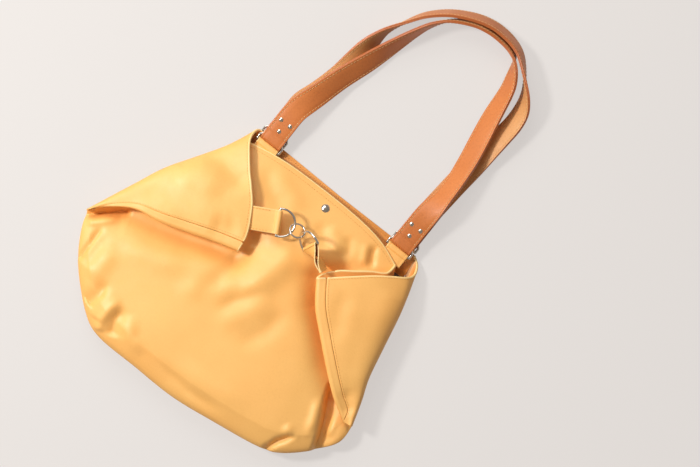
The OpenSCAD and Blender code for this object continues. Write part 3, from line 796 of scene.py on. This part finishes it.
def rest_outline():
    """Outline of the leather that lies on the floor, from the left over the base."""
    lines = [inset(on_curve(fold, np.linspace(start, end, count)), SIDE_ROUND, 0)
             for fold, start, end, count in ((LEFT_FOLD, 0.1, 0.97, 20), (BASE_FOLD, 0, 1, 60),
                                             (RIGHT_FOLD, 0.97, 0.1, 20))]
    mouth = ((150, 4), (146, 0.8), (142, 0), (27, 1.5), (-88, 0), (-93, 0.8), (-96, 4))
    return np.concatenate(lines + [[(x, BACK_RIM_Y - drop, 0) for x, drop in mouth]])


def drawn_in(outline, d):
    """The outline moved towards its middle by d."""
    return outline + unit((outline.mean(axis=0) - outline) * [1, 1, 0]) * d


def clipped(outline, low_y, high_y, margin=0.0):
    """The outline moved in by margin and cut off below low_y and above high_y."""
    q = drawn_in(outline, margin)
    for limit, side in ((low_y, 1), (high_y, -1)):
        kept = []
        for a, b in zip(q, np.roll(q, -1, axis=0)):
            ia, ib = (a[1] - limit) * side >= 0, (b[1] - limit) * side >= 0
            if ia:
                kept.append(a)
            if ia != ib:
                kept.append(mix(a, b, (limit - a[1]) / (b[1] - a[1])))
        q = np.array(kept)
    return q


def back_piece(name, outline, low, thick, material, bevel, slot, node):
    """A flat piece of the back, from a height low up, with soft edges."""
    high, soft = low + thick, 0.3 * bevel
    levels = [(low, bevel), (low + bevel, 0), (high - bevel, 0), (high - soft, soft),
              (high, bevel)]
    verts = []
    for z, d in levels:
        verts.append(drawn_in(outline, d))
        verts[-1][:, 2] = z
    piece = mesh_object(name, np.concatenate(verts), tube_faces(len(levels), len(outline)),
                        [material])
    return place(piece, SHELL, slot, node)


back_outline = rest_outline()
back_piece("back_leather", back_outline, 0.0, LEATHER, body_leather, 0.55, "body_leather",
           "back_panel")
back_piece("back_facing_leather", clipped(back_outline, BACK_FACING_Y, BACK_RIM_Y, 0.2),
           LEATHER, FACING, facing_leather_and_shade, 0.55, "body_leather", "back_facing")
lining_line = clipped(back_outline, -math.inf, BACK_FACING_Y - 1, 2.5)
back_lining = back_piece("back_lining_cloth", lining_line, LEATHER, LINING, lining_cloth, 0.25,
                         "lining_cloth", "back_lining")
x, y = lining_line[:, 0] * MM, lining_line[:, 1] * MM

# ---- Straps and tabs ----
# bars of the handles' rings: X of both, then Y and height; tilt of the front handle's ends
FRONT_X, FRONT_BAR = (-83.0, 126.0), (157.0, 12.4)
BACK_X, BACK_BAR = (-84.0, 128.0), (168.0, 4.1)
FRONT_TILT = math.radians(12)
# bars of the wing rings, and how their tabs turn about Z, roll and twist
LEFT_BAR, RIGHT_BAR = (-12.0, 91.0, 42.5), (38.5, 92.5, 46.0)
LEFT_TURN, RIGHT_TURN = math.radians(-61.3), math.radians(66)
RIGHT_ROLL, RIGHT_TWIST = math.radians(-54), math.radians(-50)

# Routes of the straps between their riveted ends: X and Y of the middle, height of the
# lower edge and lean; a leaning strap has its inner edge down and its outer edge up
FRONT_ROUTE = [
    (-81.5, 218, 19, 6), (-73.5, 246, 13, 24), (-64, 280, 7.5, 36), (-50.5, 318, 4, 44),
    (-36, 360, 1, 65), (-27, 384, 0.5, 78), (-17.5, 404, 0.3, 88), (-3, 422, 0.2, 98),
    (22, 438.6, 0.2, 110), (42, 444.8, 0.2, 114), (60, 445.6, 0.2, 114), (76, 443.2, 0.2, 111),
    (87, 437.8, 0.2, 104), (94.5, 429, 0.2, 85), (102, 415, 0.2, 68), (108, 398, 0.4, 58),
    (113.5, 362, 1, 45), (119.5, 330, 2.5, 40), (125, 300, 5, 41), (128.5, 268, 6.5, 46),
    (128.6, 240, 11, 40), (126.8, 218, 17.5, 14)]
BACK_ROUTE = [
    (-83.5, 228, 1.4, 0), (-76, 250, 0.5, 2), (-68, 282, 0.2, 10), (-65, 308, 0.2, 27),
    (-64, 328, 0.2, 46), (-61.5, 345, 0.2, 64), (-56.5, 364, 0.2, 84), (-46, 384, 0.2, 96),
    (-30.5, 409, 0.2, 105), (-7.5, 430.4, 0.2, 110), (20, 445.4, 0.2, 114), (42, 451.8, 0.2, 115),
    (60, 452.6, 0.2, 115), (77, 450.4, 0.2, 113), (91, 445, 0.2, 110), (104, 435, 0.2, 104),
    (119, 420, 0.2, 92), (131, 404, 0.2, 72), (138, 388, 0.2, 52), (140, 370, 0.2, 42),
    (138.5, 350, 0.2, 36), (136.3, 328, 0.2, 28), (134, 300, 0.2, 17), (131, 268, 0.3, 7),
    (129, 240, 0.8, 1), (128, 226, 1.4, 0)]
STATION_STEP = 2.0
STITCH_IN, STITCH_PITCH, STITCH_THREAD = 2.9, 4.4, 0.75
LOOP_STRAIGHT = 14  # stations of each straight part of a strap's loop
LOOP_UNSEWN = 34  # stations of the loop, from its tail round the ring, that have no stitches


def strap_line(route, xs, bar, tilt, below, above):
    """Rows [x, y, z, lean] along the seam between the two plies."""
    rows = []
    for x, y, low, lean in route:
        a = math.radians(lean)
        ply = below if math.cos(a) > 0 else above
        rows.append((x, y, low + STRAP_W / 2 * math.sin(a) + ply * abs(math.cos(a)), lean))
    e = np.array([0, math.cos(tilt), math.sin(tilt)])
    start = TAIL_LEN + 1
    ends = [[(*(np.array([x, *bar]) + e * far), 0.0) for far in (start, start + 2, start + 4)]
            for x in xs]
    points = np.array(ends[0] + rows + ends[1][::-1])
    line = on_curve(points, np.linspace(0, 1, 12 * len(points)))
    run = run_of(line[:, :3])
    line = at_lengths(np.linspace(0, run[-1], int(run[-1] / STATION_STEP)), run, line)
    for _ in range(3):
        line[2:-2] = (line[1:-3] + 2 * line[2:-2] + line[3:-1]) / 4
    return line


def strap_stations(line):
    """Places along a strap, and its directions across and off its face there."""
    places = line[:, :3]
    t = unit(np.gradient(places, axis=0))
    flat = unit(np.stack([t[:, 1], -t[:, 0], 0 * t[:, 0]], axis=1))
    up = np.cross(flat, t)
    lean = np.radians(line[:, 3:4])
    cos, sin = np.cos(lean), np.sin(lean)
    return places, flat * cos - up * sin, up * cos + flat * sin


def loop_stations(x, bar, tilt, face, side):
    """Outer ply from its tail round the ring and back; side is 1 or -1 along X."""
    e = np.array([0, math.cos(tilt), math.sin(tilt)])
    n = np.array([0, -math.sin(tilt), math.cos(tilt)]) * face
    r = WIRE_D / 2 + WIRE_GAP + STRAP_PLY / 2
    at = LOOP_START + r
    shut = RING_SIDE + RING_RISE + WIRE_D / 2 + LOOP_CLOSE
    low, high = -STRAP_PLY / 2 - LAYER_GAP, STRAP_PLY / 2
    # where the plies part: distance before shut, and share of the way out to the turn
    part = ((0.9, 0.3), (1.9, 0.8), (2.8, 1.0))
    rows = [(far, low, 180) for far in np.linspace(TAIL_LEN, shut, LOOP_STRAIGHT)]
    rows += [(shut - back, mix(low, -r, share), 180) for back, share in part]
    rows += [(at - r * math.sin(math.radians(d)), r * math.cos(math.radians(d)), d)
             for d in range(180, -1, -12)]
    rows += [(shut - back, mix(high, r, share), 0) for back, share in part[::-1]]
    rows += [(far, high, 0) for far in np.linspace(shut, TAIL_LEN, LOOP_STRAIGHT)]
    far, off, angle = np.array(rows).T[..., None]
    angle = np.radians(angle)
    places = np.array([x, *bar]) + e * far + n * off
    ups = (n * np.cos(angle) - e * np.sin(angle)) * face
    return places, np.tile([side, 0.0, 0.0], (len(rows), 1)), ups


def ply_outline(thick, face, dome=0.15, groove=0.22, bevel=0.55):
    """Outline of a ply, with its finished face on the side of the sign face, and the
    material of each stretch: 0 finished face, 1 back, 2 edge."""
    w, h, soft = STRAP_W / 2, thick / 2, 0.3 * bevel
    seam, half_groove, back_soft = w - STITCH_IN, 0.7, 0.2
    right = [w - bevel, seam + half_groove, seam, seam - half_groove, w * 0.4]
    top = [(x, h + dome * (1 - (x / w) ** 2) - (groove if abs(x) == seam else 0))
           for x in right + [0] + [-x for x in right[::-1]]]
    edge = [(w - back_soft, -h), (w, back_soft - h), (w, h - bevel), (w - soft, h - soft)]
    other = [(-x, z) for x, z in edge]
    slots = [1, 2, 2, 2, 2] + [0] * (len(top) - 1) + [2, 2, 2, 2]
    return [(x, z * face) for x, z in other[:1] + edge + top + other[:0:-1]], slots


def handle(body, node, route, xs, bar, tilt, face):
    """A handle of two plies with their stitches. face is 1 where the finished one is up."""
    below, above = (BACKING_PLY, STRAP_PLY) if face > 0 else (STRAP_PLY, BACKING_PLY)
    line = strap_line(route, xs, bar, tilt, below, above)
    places, sides, ups = strap_stations(line)
    left, right = (loop_stations(x, bar, tilt, face, side) for x, side in zip(xs, (1.0, -1.0)))
    outer = places + ups * face * STRAP_PLY / 2
    whole = [np.concatenate([a, m, b[::-1]]) for a, m, b in zip(left, (outer, sides, ups), right)]
    name = body + "_strap"
    outline, slots = ply_outline(STRAP_PLY, face)
    piece = band_mesh(name, *whole, outline, [handle_leather, backing_leather, edge_paint], slots)
    place(piece, body, "handle_leather", node)
    inner = places - ups * face * BACKING_PLY / 2
    outline, slots = ply_outline(BACKING_PLY, -face, bevel=0.4)
    piece = band_mesh(name + "_backing", inner, sides, ups, outline,
                      [backing_leather, backing_leather, edge_paint], slots)
    place(piece, body, "handle_backing", node + "_backing")
    out = STITCH_IN - STRAP_W / 2
    for label, sign, ply, base, skip in (("outer", 1, STRAP_PLY, whole, LOOP_UNSEWN),
                                         ("inner", -1, BACKING_PLY, (inner, sides, ups), 0)):
        p, q, r = [a[skip:len(a) - skip] for a in base]
        for end, edge in (("a", -1), ("b", 1)):
            seat = p + q * edge * out + r * face * sign * (ply / 2 - 0.1)
            stitch_row(f"{name}_stitches_{label}_{end}", seat, r * face * sign, STITCH_PITCH,
                       STITCH_THREAD, pale_thread, body)


handle("front_handle", "front_strap", FRONT_ROUTE, FRONT_X, FRONT_BAR, FRONT_TILT, 1)
handle("back_handle", "back_strap", BACK_ROUTE, BACK_X, BACK_BAR, 0.0, -1)

BODY_PITCH, BODY_THREAD = 3.6, 0.5
TAB_STITCH_IN, TAB_THREAD = 2.4, 0.55
TAB_STATIONS = 120
TAB_SEWN = slice(78, 118)  # stations of a tab's upper ply with stitches


def tab(node, bar, length, drop=0.0, turn=0.0, roll=0.0, twist=0.0, shut=5.6, sewn=False):
    """Leather tab folded round a ring's bar, with its sewn end towards local -Y and lower by
    drop. Its plies meet at shut from the bar, and it turns by twist towards its sewn end."""
    eye = WIRE_D / 2 + WIRE_GAP + TAB_PLY / 2
    low, high = drop - TAB_PLY / 2, drop + TAB_PLY / 2
    near, middle = -0.5 * shut - 0.6, -max(length * 0.6, shut + 2)
    wide = 0.7 if shut < 10 else 1.0
    path = [(-length, low), (middle, low), (-shut, low), (near, mix(low, -eye, wide))]
    path += [(eye * math.cos(a), eye * math.sin(a)) for a in np.radians(range(-110, 111, 20))]
    path += [(near, mix(high, eye, wide)), (-shut, high), (middle, high), (-length, high)]
    p = resample([(0, a, b) for a, b in path], TAB_STATIONS)
    t = unit(np.gradient(p, axis=0))
    ups = np.stack([0 * t[:, 0], t[:, 2], -t[:, 1]], axis=1)
    sides = np.tile([1.0, 0, 0], (len(p), 1))
    rolls = roll + twist * smooth(-p[:, 1], -5, min(length, 27))
    placed = []
    for a in (p, sides, ups):
        x = a[:, 0] * np.cos(rolls) + a[:, 2] * np.sin(rolls)
        z = a[:, 2] * np.cos(rolls) - a[:, 0] * np.sin(rolls)
        placed.append(np.stack([math.cos(turn) * x - math.sin(turn) * a[:, 1],
                                math.sin(turn) * x + math.cos(turn) * a[:, 1], z], axis=1))
    placed[0] += np.array(bar)
    outline, slots = ply_outline(TAB_PLY, 1, dome=0.1, groove=0.12, bevel=0.45)
    piece = band_mesh(node + "_leather", *placed, outline, [body_leather, flesh_side, painted_highlight_edge],
                      slots)
    place(piece, SHELL, "body_leather", node)
    places, sides, ups = [a[TAB_SEWN] for a in placed]
    for end, edge in (("a", -1), ("b", 1)) if sewn else ():
        seat = places + sides * edge * (STRAP_W / 2 - TAB_STITCH_IN) + ups * (TAB_PLY / 2 + 0.02)
        stitch_row(f"{node}_leather_stitches_{end}", seat, ups, BODY_PITCH, TAB_THREAD,
                   body_thread, SHELL)


for end, xs, bar, drop in (("front", FRONT_X, FRONT_BAR, -0.2),
                           ("back", BACK_X, BACK_BAR, LEATHER + TAB_PLY - BACK_BAR[1])):
    for side, x in zip(("left", "right"), xs):
        tab(f"{end}_{side}_tab", (x, *bar), TAB_LEN, drop=drop)
tab("left_wing_tab", LEFT_BAR, LEFT_TAB_LEN, drop=-1.6, turn=LEFT_TURN, sewn=True)
tab("right_wing_tab", RIGHT_BAR, RIGHT_TAB_LEN, turn=RIGHT_TURN, roll=RIGHT_ROLL,
    twist=RIGHT_TWIST, shut=30, sewn=True)


# ---- Body stitches ----
def sew(name, grid, where):
    """Stitches on the outer side of a grid, along a stretch of one of its lines."""
    n = normals(grid)[where]
    stitch_row(name, grid[where] + n * (LEATHER / 2), n, BODY_PITCH, BODY_THREAD, body_thread,
               SHELL, sink=0.2)


sew("left_seam_stitches", left_wing, np.s_[12:-2, -3])
sew("right_seam_stitches", right_wing, np.s_[12:-2, 2])
sew("left_rim_stitches", left_wing, np.s_[-4, 30:-3])
sew("right_rim_stitches", right_wing, np.s_[-4, 3:-30])
for row, far in (("a", 4.2), ("b", 10.0)):
    line = [(x, BACK_RIM_Y - far, LEATHER + FACING + 0.05) for x in (-84, -30, 27, 80, 140)]
    stitch_row("back_rim_stitches_" + row, resample(line, 60), np.tile([0, 0, 1.0], (60, 1)),
               BODY_PITCH, BODY_THREAD, body_thread, SHELL)
sew("front_rim_stitches", front, np.s_[-4, SIDE_COLS + 6:SIDE_COLS + FRONT_COLS - 6])

# ---- Floor, light and camera, in metres ----
PHOTO_TURN = math.radians(38.7)
VIEW_CENTRE = (0.0660, 0.1357)
VIEW_HEIGHT = 2.453

camera = add_object("camera", bpy.data.cameras.new("camera"))
camera.location = (*VIEW_CENTRE, VIEW_HEIGHT)
camera.rotation_euler = (0, 0, PHOTO_TURN)
camera.data.lens = 100
camera.data.sensor_width = 36
camera.data.clip_start = 0.01
scene.camera = camera

FLOOR_REACH, FLOOR_Z = 3.0, -0.0002
FLOOR_GLOW, GLOW_SHARE = 0.975, 0.735


def pale_floor():
    """A floor that looks paler to the camera and to metal than the one that lights leather."""
    mesh = bpy.data.meshes.new("floor")
    mesh.from_pydata([(x * FLOOR_REACH, y * FLOOR_REACH, FLOOR_Z)
                      for x, y in ((-1, -1), (1, -1), (1, 1), (-1, 1))], [], [(0, 1, 2, 3)])
    floor = add_object("floor", mesh)
    s = Shader("floor", Roughness=0.9, Specular_IOR_Level=0.1)
    s.feed("Base Color", s.blend(s.ramp(s.noise(1.6, detail=2), 0.3, 0.7),
                                 srgb(176, 172, 168), srgb(180, 176, 172)))
    seen = s.node("BsdfDiffuse", values={"Color": srgb(232, 229, 226)})
    glow = s.node("Emission",
                  values={"Color": srgb(232, 227, 224), "Strength": FLOOR_GLOW})
    pale = s.node("MixShader", {1: seen.outputs[0], 2: glow.outputs[0]},
                  {0: GLOW_SHARE})
    path = s.node("LightPath").outputs
    shown = path["Is Camera Ray"]
    for ray in ("Is Glossy Ray", "Is Transmission Ray"):
        shown = s.combine("MAXIMUM", shown, path[ray])
    last = s.node("MixShader", {0: shown, 1: s.bsdf.outputs[0], 2: pale.outputs[0]})
    s.tree.links.new(last.outputs[0], s.tree.nodes["Material Output"].inputs["Surface"])
    mesh.materials.append(s.material)


pale_floor()


def lamp(name, way, distance, size, power, colour):
    """A round lamp that stands the given way from the middle of the view and faces it."""
    light = bpy.data.lights.new(name, "AREA")
    light.shape = "DISK"
    light.size = size
    light.energy = power
    light.color = colour
    offset = np.array(way) / np.linalg.norm(way) * distance
    obj = add_object(name, light)
    obj.location = offset + [*VIEW_CENTRE, 0.0]
    obj.rotation_euler = Vector(-offset).to_track_quat("-Z", "Y").to_euler()


# The key light stands on the photograph's left, a wide soft one beyond its upper edge
lamp("key", (-0.96, -0.3, 1.08), distance=2.0, size=0.34, power=30, colour=(1.0, 0.98, 0.95))
lamp("soft", (-0.80, 0.60, 0.84), distance=2.2, size=1.6, power=20, colour=(1.0, 0.985, 0.96))

world = bpy.data.worlds.new("world")
scene.world = world
world.use_nodes = True
background = world.node_tree.nodes["Background"]
background.inputs["Color"].default_value = srgb(255, 240, 224)
background.inputs["Strength"].default_value = 0.3
scene.view_settings.view_transform = "Standard"

# The rings, rivets and snap are shown by their own solids
RINGS = ("front_left_ring", "front_right_ring", "back_left_ring", "back_right_ring",
         "left_wing_ring", "link_ring", "right_wing_ring")
STUDS = ("front_rivets", "back_rivets", "snap_cap", "snap_socket", "snap_stud")
for metal, nodes in ((ring_metal, RINGS), (rivet_metal, STUDS)):
    for node in nodes:
        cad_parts[node].data.materials.clear()
        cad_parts[node].data.materials.append(metal)
